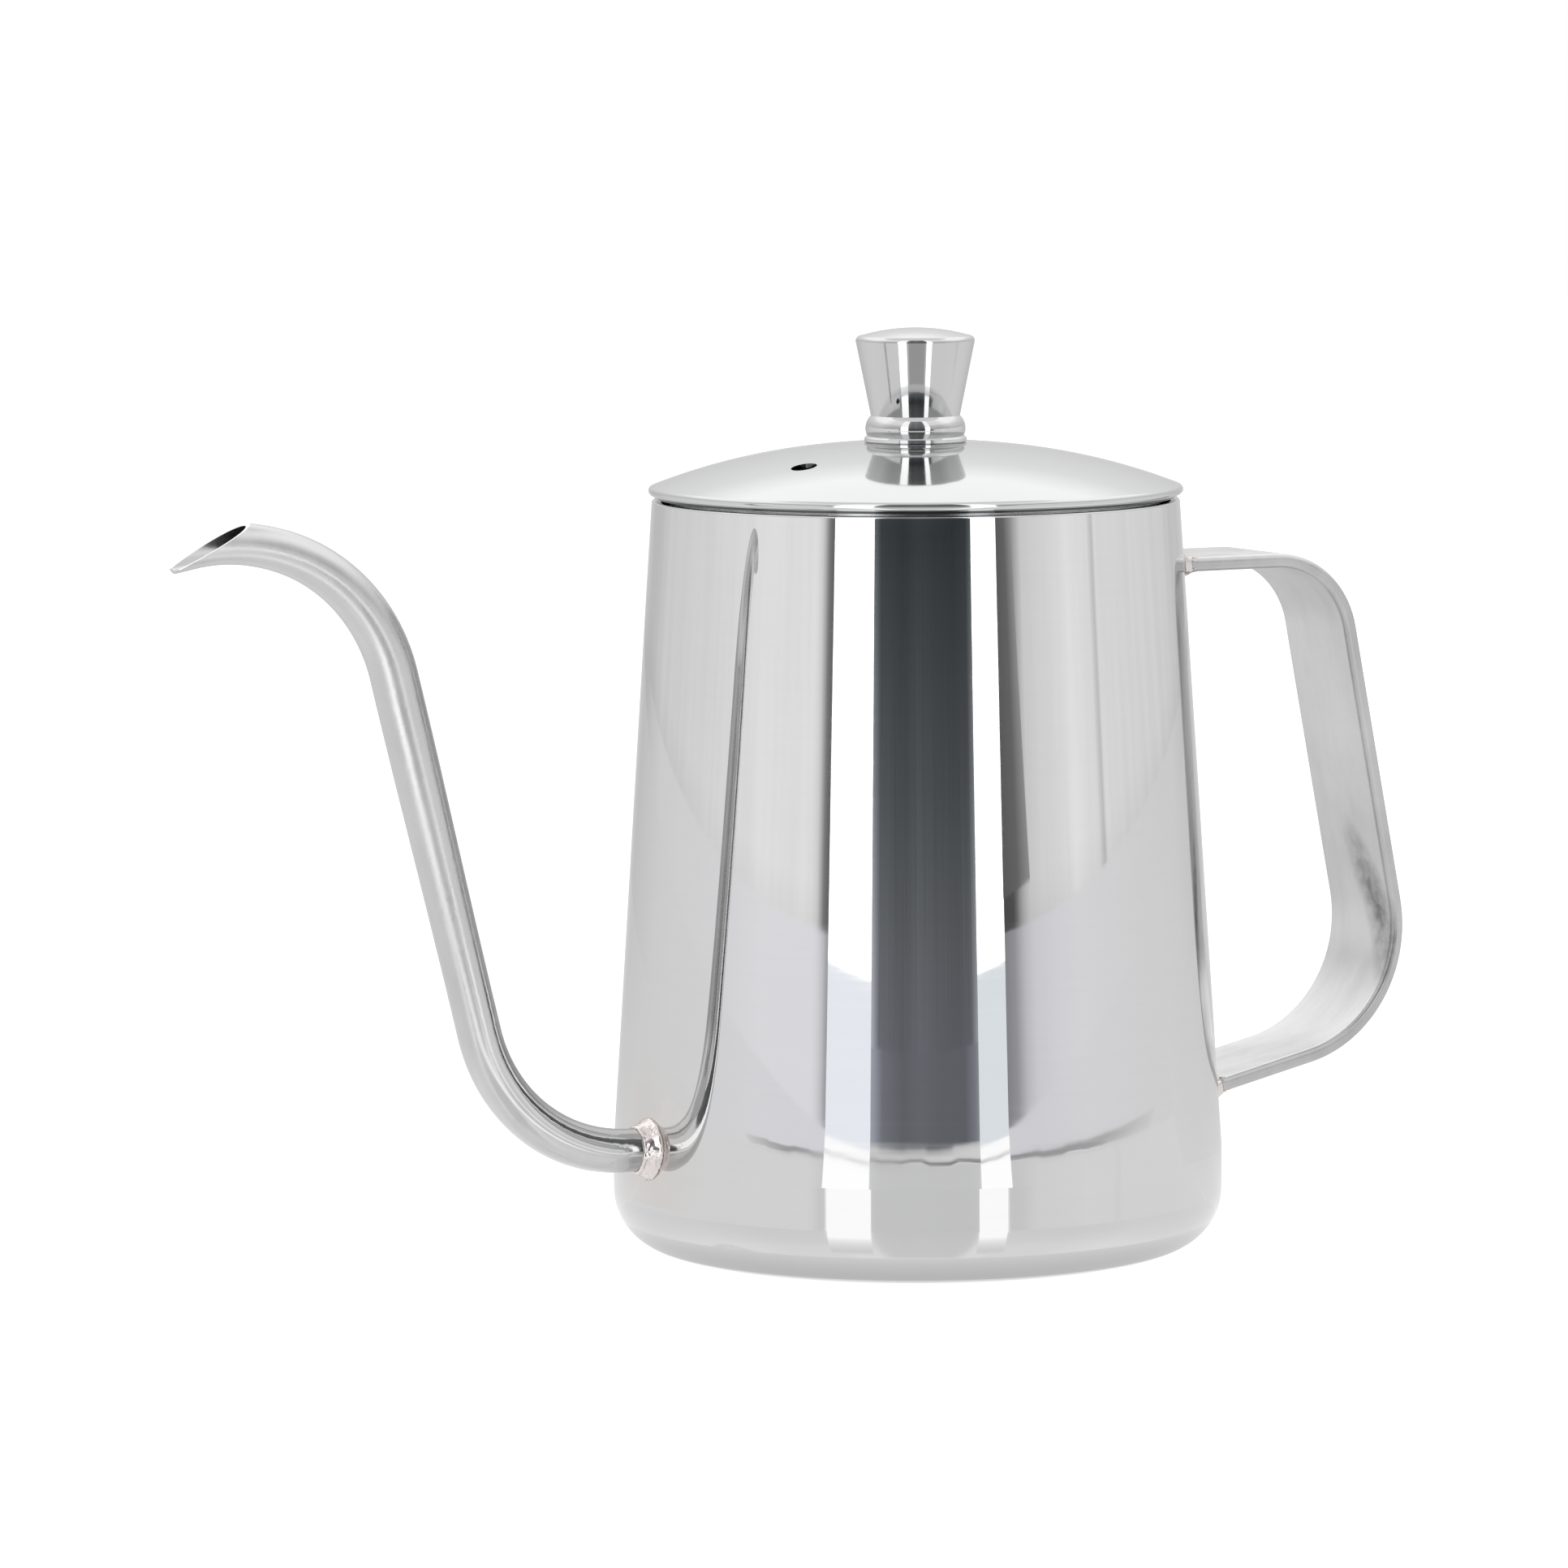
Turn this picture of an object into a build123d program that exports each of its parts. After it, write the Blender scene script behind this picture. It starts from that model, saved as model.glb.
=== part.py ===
from build123d import *
from math import atan2, cos, degrees, radians, sin, tan
import os

# Gooseneck drip kettle, millimetres. The origin is on the body's axis at the face it stands on.
# +Z is up, the spout points to -X and the handle to +X. Both lie in the XZ plane.

# body
BASE_R = 50.0  # outer radius of the straight band above the base
BASE_FILLET_R = 9.5
SEAM_Z = 10.2  # weld line between the base pan and the body shell, ground flush
KINK_Z = 16.4  # the wall starts to taper here
MOUTH_Z = 122.78  # top of the body
MOUTH_R = 43.09  # outer radius at the top of the body
WALL_T = 0.6
FLOOR_T = 0.9
LIP_INNER_R = 40.7  # inward lip that guides the lid's skirt
LIP_T = 0.6
LIP_ROUND_R = 0.35

# spout, one bent tube whose diameter swells a little along the rise
SPOUT_Z = 19.1  # height of the tube's axis at the wall
SPOUT_START_X = 48.3
SPOUT_ROOT_ANGLE = 2.0
SPOUT_ROOT_L = 6.1
SPOUT_LOWER_R = 27.2
SPOUT_RISE_ANGLE = 76.0
SPOUT_RISE_L = 60.0
SPOUT_UPPER_R = 28.6
SPOUT_BREAK_ANGLE = 21.5
SPOUT_TIP_R = 32.0
SPOUT_TIP_ANGLE = -10.0
SPOUT_TIP_L = 5.0
SPOUT_ROOT_TUBE_R = 3.3
SPOUT_MID_TUBE_R = 3.8
SPOUT_TIP_TUBE_R = 3.35
SPOUT_WALL_T = 0.45
SPOUT_CUT_TOP = (-118.8, 123.3)  # the slanted cut runs from here
SPOUT_CUT_LIP = (-131.9, 116.4)  # down to the lip

# flared braze ring where the spout meets the wall
COLLAR_R = 5.1
COLLAR_L = 2.4
COLLAR_EDGE_T = 0.35
HOLE_CLEARANCE = 0.06

# handle, one bent flat strap
STRAP_W = 20.0
STRAP_T = 2.4
STRAP_EDGE_R = 1.0
STRAP_TOP_Z = 110.7
STRAP_TOP_X = 63.4
STRAP_UPPER_R = 14.5
STRAP_LEAN_ANGLE = 79.0
STRAP_GRIP_L = 47.3
STRAP_LOWER_R = 21.5
STRAP_RETURN_ANGLE = 12.5
WELD_MARGIN = 1.4  # how far the bead stands out around the strap at the wall
WELD_L = 4.2  # how far it runs out along the strap

# lid
LID_R = 43.6
LID_EDGE_Z = 124.86  # height of the widest point of the rim
LID_RISE = 7.36
LID_POWER = 2.33  # how flat the dome is in the middle
LID_SEAT_R = 9.0  # flat under the knob
LID_T = 0.8
LID_GAP = 0.35  # stands for the contact between the rim and the body's mouth
RIM_GAP = 0.8  # groove outside the seat, under the rim's edge
RIM_SEAT_R = 42.4
RIM_INNER_R = 41.6
SKIRT_R = 40.2
SKIRT_T = 0.6
SKIRT_BOTTOM_Z = 113.5
SKIRT_FLANGE_W = 1.6
VENT_R = 2.1
VENT_FROM_AXIS = 28.8
VENT_ANGLE = 22.6  # from the spout's direction

# knob and its fastening
KNOB_FOOT_R = 8.4
KNOB_FOOT_H = 0.9
KNOB_CREASE_R = 7.95
KNOB_CREASE_H = 1.1
KNOB_BEAD_R = 8.2
KNOB_BEAD_H = 2.4
KNOB_NECK_R = 7.3
KNOB_NECK_H = 4.35
KNOB_TOP_R = 9.75
KNOB_EDGE_H = 16.5
KNOB_TOP_H = 18.65
KNOB_ROUND_R = 0.9  # rounded edge between the cone and the crown
KNOB_BORE_R = 2.05
KNOB_BORE_DEPTH = 8.5
SCREW_R = 2.0
SCREW_HOLE_R = 2.2
SCREW_HEAD_R = 4.0
SCREW_HEAD_H = 2.5
SCREW_GRIP_L = 7.2
WASHER_R = 4.6
WASHER_T = 0.8
LOCK_WASHER_R = 3.7
LOCK_WASHER_T = 0.9
LOCK_WASHER_GAP = 0.8
RECESS_L = 4.4
RECESS_W = 1.1
RECESS_DEPTH = 1.3

os.makedirs("parts", exist_ok=True)


def wall_radius(z, inset=0.0):
    """Outer radius of the body at height z, moved in by inset."""
    taper = (BASE_R - MOUTH_R) / (MOUTH_Z - KINK_Z)
    return BASE_R - inset - max(z - KINK_Z, 0.0) * taper


def turned(*edges):
    """Solid turned about Z from edges drawn in the XZ plane, given as (x, z)."""
    with BuildSketch(Plane.XZ) as profile:
        with BuildLine():
            for edge in edges:
                add(edge)
        make_face()
    return revolve(profile.sketch, Axis.Z)


def ring(inner_r, outer_r, z0, z1):
    """Plain ring about Z."""
    outer = Cylinder(outer_r, z1 - z0, align=(Align.CENTER, Align.CENTER, Align.MIN))
    inner = Cylinder(inner_r, z1 - z0, align=(Align.CENTER, Align.CENTER, Align.MIN))
    return Pos(0, 0, z0) * (outer - inner)


def save(solid, name):
    """Name the solid and write its STEP file."""
    solid.label = name
    export_step(solid, f"parts/{name}.step")


# body as a filled shape, used to trim what is welded to it
body_filled = turned(
    Polyline(
        (0, SEAM_Z),
        (BASE_R, SEAM_Z),
        (BASE_R, KINK_Z),
        (MOUTH_R, MOUTH_Z),
        (0, MOUTH_Z),
        (0, SEAM_Z),
    )
)

# spout path and its cut
spout_x0 = -SPOUT_START_X
with BuildLine(Plane.XZ) as spout_line:
    root = Line(
        (spout_x0, SPOUT_Z),
        (
            spout_x0 - SPOUT_ROOT_L * cos(radians(SPOUT_ROOT_ANGLE)),
            SPOUT_Z + SPOUT_ROOT_L * sin(radians(SPOUT_ROOT_ANGLE)),
        ),
    )
    lower = JernArc(root @ 1, root % 1, SPOUT_LOWER_R, SPOUT_ROOT_ANGLE - SPOUT_RISE_ANGLE)
    rise = Line(lower @ 1, lower @ 1 + SPOUT_RISE_L * (lower % 1))
    upper = JernArc(rise @ 1, rise % 1, SPOUT_UPPER_R, SPOUT_RISE_ANGLE - SPOUT_BREAK_ANGLE)
    tip = JernArc(upper @ 1, upper % 1, SPOUT_TIP_R, SPOUT_BREAK_ANGLE - SPOUT_TIP_ANGLE)
    Line(tip @ 1, tip @ 1 + SPOUT_TIP_L * (tip % 1))
spout_path = spout_line.wire()
spout_root_plane = Plane(origin=root @ 0, z_dir=root % 0)


def tube(inset):
    """Solid along the spout's path, its radius moved in by inset."""
    stations = (
        (0.0, SPOUT_ROOT_TUBE_R),
        (0.18, SPOUT_MID_TUBE_R - 0.15),
        (0.55, SPOUT_MID_TUBE_R),
        (0.72, SPOUT_MID_TUBE_R),
        (0.86, SPOUT_TIP_TUBE_R + 0.1),
        (1.0, SPOUT_TIP_TUBE_R),
    )
    circles = []
    for where, radius in stations:
        plane = Plane(origin=spout_path @ where, z_dir=spout_path % where)
        circles.append(plane * Circle(radius - inset))
    return sweep(sections=circles, path=spout_path, multisection=True)


# everything beyond the slanted cut, up and away from the tube
cut_x0, cut_z0 = SPOUT_CUT_TOP
cut_x1, cut_z1 = SPOUT_CUT_LIP
cut_angle = degrees(atan2(cut_z0 - cut_z1, cut_x0 - cut_x1))
cut_block = Pos((cut_x0 + cut_x1) / 2, 0, (cut_z0 + cut_z1) / 2) * Rot(0, -cut_angle, 0) * Box(
    60, 30, 30, align=(Align.CENTER, Align.CENTER, Align.MIN)
)
lip_block = Pos(cut_x1, 0, cut_z1) * Box(20, 30, 30, align=(Align.MAX, Align.CENTER, Align.CENTER))

spout_outer = tube(0.0)
spout_tube = spout_outer - tube(SPOUT_WALL_T) - cut_block - lip_block

# braze ring, turned about the tube's axis and trimmed to the wall
collar_reach = BASE_R - SPOUT_START_X
with BuildSketch(Plane.XZ) as collar_sketch:
    with BuildLine():
        inner_r = SPOUT_ROOT_TUBE_R + HOLE_CLEARANCE
        edge_r = inner_r + COLLAR_EDGE_T
        z_foot = collar_reach - 0.4
        z_edge = collar_reach + COLLAR_L
        Line((inner_r, z_foot - 0.8), (COLLAR_R, z_foot - 0.8))
        Line((COLLAR_R, z_foot - 0.8), (COLLAR_R, z_foot + 0.2))
        ThreePointArc(
            (COLLAR_R, z_foot + 0.2),
            (edge_r + 0.4 * (COLLAR_R - edge_r), z_foot + 0.2 + 0.4 * (z_edge - z_foot)),
            (edge_r, z_edge),
        )
        Line((edge_r, z_edge), (inner_r, z_edge))
        Line((inner_r, z_edge), (inner_r, z_foot - 0.8))
    make_face()
collar_turned = revolve(collar_sketch.sketch, Axis.Z)
spout_fit = tube(-HOLE_CLEARANCE)
spout_collar = spout_root_plane.location * collar_turned - body_filled - spout_fit

# body shell: straight band, taper and inward lip
lip_z = MOUTH_Z - LIP_T
round_k = 1 - sin(radians(45))
body_shell = turned(
    Line((BASE_R, SEAM_Z), (BASE_R, KINK_Z)),
    Line((BASE_R, KINK_Z), (wall_radius(MOUTH_Z - LIP_ROUND_R), MOUTH_Z - LIP_ROUND_R)),
    ThreePointArc(
        (wall_radius(MOUTH_Z - LIP_ROUND_R), MOUTH_Z - LIP_ROUND_R),
        (MOUTH_R - LIP_ROUND_R * round_k, MOUTH_Z - LIP_ROUND_R * round_k),
        (MOUTH_R - LIP_ROUND_R, MOUTH_Z),
    ),
    Line((MOUTH_R - LIP_ROUND_R, MOUTH_Z), (LIP_INNER_R, MOUTH_Z)),
    Line((LIP_INNER_R, MOUTH_Z), (LIP_INNER_R, lip_z)),
    Line((LIP_INNER_R, lip_z), (wall_radius(lip_z, WALL_T), lip_z)),
    Line((wall_radius(lip_z, WALL_T), lip_z), (BASE_R - WALL_T, KINK_Z)),
    Line((BASE_R - WALL_T, KINK_Z), (BASE_R - WALL_T, SEAM_Z)),
    Line((BASE_R - WALL_T, SEAM_Z), (BASE_R, SEAM_Z)),
)
body_shell = body_shell - spout_fit

# base pan: floor, rounded corner and a short stretch of wall
corner_x = BASE_R - BASE_FILLET_R
inner_corner_r = BASE_FILLET_R - FLOOR_T
inner_corner_x = BASE_R - WALL_T - inner_corner_r
diag = sin(radians(45))
base_pan = turned(
    Line((0, 0), (corner_x, 0)),
    ThreePointArc(
        (corner_x, 0),
        (corner_x + BASE_FILLET_R * diag, BASE_FILLET_R * (1 - diag)),
        (BASE_R, BASE_FILLET_R),
    ),
    Line((BASE_R, BASE_FILLET_R), (BASE_R, SEAM_Z)),
    Line((BASE_R, SEAM_Z), (BASE_R - WALL_T, SEAM_Z)),
    Line((BASE_R - WALL_T, SEAM_Z), (BASE_R - WALL_T, BASE_FILLET_R)),
    ThreePointArc(
        (BASE_R - WALL_T, BASE_FILLET_R),
        (inner_corner_x + inner_corner_r * diag, BASE_FILLET_R - inner_corner_r * diag),
        (inner_corner_x, FLOOR_T),
    ),
    Line((inner_corner_x, FLOOR_T), (0, FLOOR_T)),
    Line((0, FLOOR_T), (0, 0)),
)

# handle strap, bent from flat bar and butted against the wall at both ends
strap_start_x = wall_radius(STRAP_TOP_Z) - 4.0
with BuildLine(Plane.XZ) as strap_line:
    top = Line((strap_start_x, STRAP_TOP_Z), (STRAP_TOP_X, STRAP_TOP_Z))
    bend_1 = JernArc(top @ 1, top % 1, STRAP_UPPER_R, -STRAP_LEAN_ANGLE)
    grip = Line(bend_1 @ 1, bend_1 @ 1 + STRAP_GRIP_L * (bend_1 % 1))
    turn = 180 - STRAP_RETURN_ANGLE - STRAP_LEAN_ANGLE
    bend_2 = JernArc(grip @ 1, grip % 1, STRAP_LOWER_R, -turn)
    back_l = ((bend_2 @ 1).X - BASE_R + 5.0) / cos(radians(STRAP_RETURN_ANGLE))
    Line(bend_2 @ 1, bend_2 @ 1 + back_l * (bend_2 % 1))
strap_path = strap_line.wire()
strap_end = strap_path @ 1
strap_plane = Plane(origin=strap_path @ 0, x_dir=(0, 1, 0), z_dir=(1, 0, 0))
strap_bar = sweep(
    sections=strap_plane * RectangleRounded(STRAP_W, STRAP_T, STRAP_EDGE_R), path=strap_path
)
handle_strap = strap_bar - body_filled


def weld_bead(at, along):
    """Bead around the strap where it meets the wall, thinning out along the strap."""
    plane = Plane(origin=at, x_dir=(0, 1, 0), z_dir=along)
    sections = Sketch()
    for share, reach in ((1.0, 0.0), (0.45, 0.3), (0.12, 0.7), (0.04, 1.0)):
        margin = WELD_MARGIN * share
        width = STRAP_W + 2 * margin
        height = STRAP_T + 2 * margin
        sections += plane.offset(WELD_L * reach) * RectangleRounded(width, height, STRAP_EDGE_R + margin)
    bead = loft(sections, ruled=True)
    back = extrude(sections.faces()[0], amount=-1.6, dir=plane.z_dir)
    return bead + back - body_filled - strap_bar


upper_at = Vector(wall_radius(STRAP_TOP_Z), 0, STRAP_TOP_Z)
back_dir = (strap_path % 1) * -1
lower_at = strap_end + 5.0 / cos(radians(STRAP_RETURN_ANGLE)) * back_dir
handle_weld_upper = weld_bead(upper_at, Vector(1, 0, 0))
handle_weld_lower = weld_bead(lower_at, back_dir)


# lid
def dome_z(r):
    """Height of the lid's outer surface at radius r."""
    return LID_EDGE_Z + LID_RISE * (1 - (r / LID_R) ** LID_POWER)


seat_z = dome_z(LID_SEAT_R)
rim_seat_z = MOUTH_Z + LID_GAP
rim_edge_z = MOUTH_Z + RIM_GAP
dome_steps = 12
outer_points = []
for step in range(dome_steps + 1):
    r = LID_SEAT_R + (LID_R - 0.35 - LID_SEAT_R) * step / dome_steps
    outer_points.append((r, dome_z(r)))
inner_points = [(r, z - LID_T) for r, z in outer_points if r < RIM_INNER_R - 1.0]
inner_points.append((RIM_INNER_R, dome_z(RIM_INNER_R) - LID_T))
rim_top = outer_points[-1]
under_seat = inner_points[0]
under_rim = inner_points[-1]
lid_cover = turned(
    Line((0, seat_z), (LID_SEAT_R, seat_z)),
    Spline(*outer_points),
    ThreePointArc(rim_top, (LID_R, LID_EDGE_Z - 0.25), (LID_R - 0.2, rim_edge_z + 0.2)),
    Line((LID_R - 0.2, rim_edge_z + 0.2), (LID_R - 0.45, rim_edge_z)),
    Line((LID_R - 0.45, rim_edge_z), (RIM_SEAT_R, rim_edge_z)),
    Line((RIM_SEAT_R, rim_edge_z), (RIM_SEAT_R, rim_seat_z)),
    Line((RIM_SEAT_R, rim_seat_z), (RIM_INNER_R, rim_seat_z)),
    Line((RIM_INNER_R, rim_seat_z), under_rim),
    Spline(*inner_points),
    Line(under_seat, (0, seat_z - LID_T)),
    Line((0, seat_z - LID_T), (0, seat_z)),
)
vent_x = -VENT_FROM_AXIS * cos(radians(VENT_ANGLE))
vent_y = -VENT_FROM_AXIS * sin(radians(VENT_ANGLE))
vent_hole = Pos(vent_x, vent_y, LID_EDGE_Z) * Cylinder(VENT_R, 30)
screw_hole = Pos(0, 0, seat_z) * Cylinder(SCREW_HOLE_R, 10)
lid_cover = lid_cover - vent_hole - screw_hole

# skirt: a short ring with a narrow flange spot welded under the cover
flange_r = SKIRT_R - SKIRT_T - SKIRT_FLANGE_W
lid_under = [(r, dome_z(r) - LID_T - 0.02) for r in (flange_r, (flange_r + SKIRT_R) / 2, SKIRT_R)]
lid_skirt = turned(
    Line(lid_under[2], (SKIRT_R, SKIRT_BOTTOM_Z)),
    Line((SKIRT_R, SKIRT_BOTTOM_Z), (SKIRT_R - SKIRT_T, SKIRT_BOTTOM_Z)),
    Line((SKIRT_R - SKIRT_T, SKIRT_BOTTOM_Z), (SKIRT_R - SKIRT_T, lid_under[2][1] - SKIRT_T)),
    Line((SKIRT_R - SKIRT_T, lid_under[2][1] - SKIRT_T), (flange_r, lid_under[0][1] - SKIRT_T)),
    Line((flange_r, lid_under[0][1] - SKIRT_T), lid_under[0]),
    Spline(*lid_under),
)

# knob, turned from bar: foot disc, crease, bead, neck, cone and a slightly domed top
foot_z = seat_z
cone_top_z = foot_z + KNOB_EDGE_H
crown_z = foot_z + KNOB_TOP_H
crown_r = KNOB_TOP_R - KNOB_ROUND_R
crown_foot_z = cone_top_z + KNOB_ROUND_R
crown_rise = crown_z - crown_foot_z
crown_sphere_r = (crown_r**2 + crown_rise**2) / (2 * crown_rise)
crown_mid_z = crown_z - crown_sphere_r + (crown_sphere_r**2 - crown_r**2 / 4) ** 0.5
round_out = KNOB_ROUND_R * sin(radians(45))
knob = turned(
    Line((0, foot_z), (KNOB_FOOT_R - 0.2, foot_z)),
    Line((KNOB_FOOT_R - 0.2, foot_z), (KNOB_FOOT_R, foot_z + 0.2)),
    Line((KNOB_FOOT_R, foot_z + 0.2), (KNOB_FOOT_R, foot_z + KNOB_FOOT_H - 0.2)),
    Line((KNOB_FOOT_R, foot_z + KNOB_FOOT_H - 0.2), (KNOB_FOOT_R - 0.2, foot_z + KNOB_FOOT_H)),
    Line((KNOB_FOOT_R - 0.2, foot_z + KNOB_FOOT_H), (KNOB_CREASE_R, foot_z + KNOB_CREASE_H)),
    ThreePointArc(
        (KNOB_CREASE_R, foot_z + KNOB_CREASE_H),
        (KNOB_BEAD_R, foot_z + KNOB_BEAD_H),
        (KNOB_NECK_R, foot_z + KNOB_NECK_H),
    ),
    Line((KNOB_NECK_R, foot_z + KNOB_NECK_H), (KNOB_TOP_R, cone_top_z)),
    ThreePointArc(
        (KNOB_TOP_R, cone_top_z),
        (crown_r + round_out, cone_top_z + round_out),
        (crown_r, crown_foot_z),
    ),
    ThreePointArc((crown_r, crown_foot_z), (crown_r / 2, crown_mid_z), (0, crown_z)),
    Line((0, crown_z), (0, foot_z)),
)
knob = knob - Pos(0, 0, foot_z) * Cylinder(KNOB_BORE_R, 2 * KNOB_BORE_DEPTH)

# screw from below, with a split lock washer against its head and a flat washer on the cover
washer_top_z = seat_z - LID_T
washer_z = washer_top_z - WASHER_T
lock_z = washer_z - LOCK_WASHER_T
knob_washer = ring(SCREW_HOLE_R, WASHER_R, washer_z, washer_top_z)
knob_lock_washer = ring(SCREW_HOLE_R, LOCK_WASHER_R, lock_z, washer_z)
split = Pos(LOCK_WASHER_R, 0, lock_z) * Rot(20, 0, 0) * Box(
    2 * LOCK_WASHER_R, LOCK_WASHER_GAP, 6
)
knob_lock_washer = knob_lock_washer - split

head_z = lock_z - SCREW_HEAD_H
shank_top_z = foot_z + SCREW_GRIP_L
knob_screw = turned(
    Line((0, head_z), (SCREW_HEAD_R - 1.2, head_z)),
    ThreePointArc(
        (SCREW_HEAD_R - 1.2, head_z),
        (SCREW_HEAD_R - 0.35, head_z + 0.35),
        (SCREW_HEAD_R, head_z + 1.2),
    ),
    Line((SCREW_HEAD_R, head_z + 1.2), (SCREW_HEAD_R, lock_z)),
    Line((SCREW_HEAD_R, lock_z), (SCREW_R, lock_z)),
    Line((SCREW_R, lock_z), (SCREW_R, shank_top_z - 0.5)),
    Line((SCREW_R, shank_top_z - 0.5), (SCREW_R - 0.5, shank_top_z)),
    Line((SCREW_R - 0.5, shank_top_z), (0, shank_top_z)),
    Line((0, shank_top_z), (0, head_z)),
)
recess_arm = Box(RECESS_L, RECESS_W, 2 * RECESS_DEPTH)
cross_recess = Pos(0, 0, head_z) * (recess_arm + Rot(0, 0, 90) * recess_arm)
knob_screw = knob_screw - cross_recess

save(body_shell, "body_shell")
save(base_pan, "base_pan")
save(spout_tube, "spout_tube")
save(spout_collar, "spout_collar")
save(handle_strap, "handle_strap")
save(handle_weld_upper, "handle_weld_upper")
save(handle_weld_lower, "handle_weld_lower")
save(lid_cover, "lid_cover")
save(lid_skirt, "lid_skirt")
save(knob, "knob")
save(knob_screw, "knob_screw")
save(knob_washer, "knob_washer")
save(knob_lock_washer, "knob_lock_washer")
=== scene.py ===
import math

import bpy
from mathutils import Matrix, Vector, noise


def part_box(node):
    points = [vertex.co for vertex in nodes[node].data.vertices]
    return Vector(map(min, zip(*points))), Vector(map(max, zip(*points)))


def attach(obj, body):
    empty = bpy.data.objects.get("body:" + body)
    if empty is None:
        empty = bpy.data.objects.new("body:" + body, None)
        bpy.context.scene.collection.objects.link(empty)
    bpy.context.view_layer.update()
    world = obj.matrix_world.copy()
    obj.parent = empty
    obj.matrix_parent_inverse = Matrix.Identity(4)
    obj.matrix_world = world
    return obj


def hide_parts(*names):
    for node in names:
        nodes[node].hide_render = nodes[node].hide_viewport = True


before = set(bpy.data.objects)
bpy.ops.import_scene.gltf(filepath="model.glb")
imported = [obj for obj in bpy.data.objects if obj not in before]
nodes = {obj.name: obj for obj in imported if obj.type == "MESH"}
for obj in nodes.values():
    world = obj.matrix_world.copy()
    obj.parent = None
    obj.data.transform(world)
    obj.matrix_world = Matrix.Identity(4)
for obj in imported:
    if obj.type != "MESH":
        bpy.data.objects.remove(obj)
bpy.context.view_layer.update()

# camera
VIEW_AZ = math.radians(29.0)  # how far the spout is turned towards the camera
CAM_DIST = 1.3162
CAM_HEIGHT = 0.2110
CAM_PITCH = 0.1022
CAM_PAN = -0.01648
CAM_ROLL = -0.0045
CAM_LENS = 185.45


def to_row(side, front, up):
    """Point given as metres to the camera's right, towards the camera and up, in the row frame."""
    x = side * math.cos(VIEW_AZ) - front * math.sin(VIEW_AZ)
    y = -side * math.sin(VIEW_AZ) - front * math.cos(VIEW_AZ)
    return Vector((x, y, up))


def make_camera():
    data = bpy.data.cameras.new("camera")
    data.sensor_width = 36.0
    data.lens = CAM_LENS
    data.clip_end = 50.0
    cam = bpy.data.objects.new("camera", data)
    bpy.context.scene.collection.objects.link(cam)
    heading = VIEW_AZ + CAM_PAN
    fwd = Vector((
        math.sin(heading) * math.cos(CAM_PITCH),
        math.cos(heading) * math.cos(CAM_PITCH),
        -math.sin(CAM_PITCH),
    ))
    right = Vector((math.cos(heading), -math.sin(heading), 0.0))
    up = right.cross(fwd)
    c, s = math.cos(CAM_ROLL), math.sin(CAM_ROLL)
    right2 = right * c + up * s
    up2 = up * c - right * s
    m = Matrix((right2, up2, -fwd)).transposed().to_4x4()
    m.translation = to_row(0.0, CAM_DIST, CAM_HEIGHT)
    cam.matrix_world = m
    bpy.context.scene.camera = cam


make_camera()
bpy.context.scene.view_settings.view_transform = "Standard"


# node helpers
UP = (0.0, 0.0, 1.0)
TO_SPOUT = (-1.0, 0.0, 0.0)


def new_material(name):
    mat = bpy.data.materials.new(name)
    mat.use_nodes = True
    tree = mat.node_tree
    shader = tree.nodes["Principled BSDF"]
    return mat, tree, shader


def add_node(tree, kind, **values):
    node = tree.nodes.new(kind)
    for key, value in values.items():
        if key in node.inputs:
            node.inputs[key].default_value = value
        else:
            setattr(node, key, value)
    return node


def math_node(tree, operation, a, b=0.0):
    """Math node whose inputs are sockets or numbers; gives its output socket."""
    node = add_node(tree, "ShaderNodeMath", operation=operation)
    for slot, value in zip(node.inputs, (a, b)):
        if isinstance(value, (int, float)):
            slot.default_value = value
        else:
            tree.links.new(value, slot)
    return node.outputs["Value"]


def spread(tree, value, from_min, from_max, to_min, to_max):
    """Map a socket's value from one range to another, clamped."""
    node = add_node(tree, "ShaderNodeMapRange")
    for key, number in (
        ("From Min", from_min), ("From Max", from_max), ("To Min", to_min), ("To Max", to_max)
    ):
        node.inputs[key].default_value = number
    tree.links.new(value, node.inputs["Value"])
    return node.outputs["Result"]


def blotches(tree, scale, stretch=(1.0, 1.0, 1.0), detail=3.0, rough=0.55):
    """Soft noise in object space; gives values around 0.5."""
    coord = add_node(tree, "ShaderNodeTexCoord")
    mapping = add_node(tree, "ShaderNodeMapping")
    mapping.inputs["Scale"].default_value = stretch
    tree.links.new(coord.outputs["Object"], mapping.inputs["Vector"])
    tex = add_node(tree, "ShaderNodeTexNoise", Scale=scale, Detail=detail, Roughness=rough)
    tree.links.new(mapping.outputs["Vector"], tex.inputs["Vector"])
    return tex.outputs["Fac"]


def facing(tree, direction):
    """Cosine between the face's own normal and a direction."""
    geometry = add_node(tree, "ShaderNodeNewGeometry")
    dot = add_node(tree, "ShaderNodeVectorMath", operation="DOT_PRODUCT")
    tree.links.new(geometry.outputs["True Normal"], dot.inputs[0])
    dot.inputs[1].default_value = direction
    return dot.outputs["Value"]


def from_axis(tree, operation):
    """The place seen from the kettle's axis: its LENGTH, or its direction with NORMALIZE."""
    coord = add_node(tree, "ShaderNodeTexCoord")
    flat = add_node(tree, "ShaderNodeVectorMath", operation="MULTIPLY")
    flat.inputs[1].default_value = (1.0, 1.0, 0.0)
    tree.links.new(coord.outputs["Object"], flat.inputs[0])
    out = add_node(tree, "ShaderNodeVectorMath", operation=operation)
    tree.links.new(flat.outputs["Vector"], out.inputs[0])
    return out.outputs["Value" if operation == "LENGTH" else "Vector"]


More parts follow.
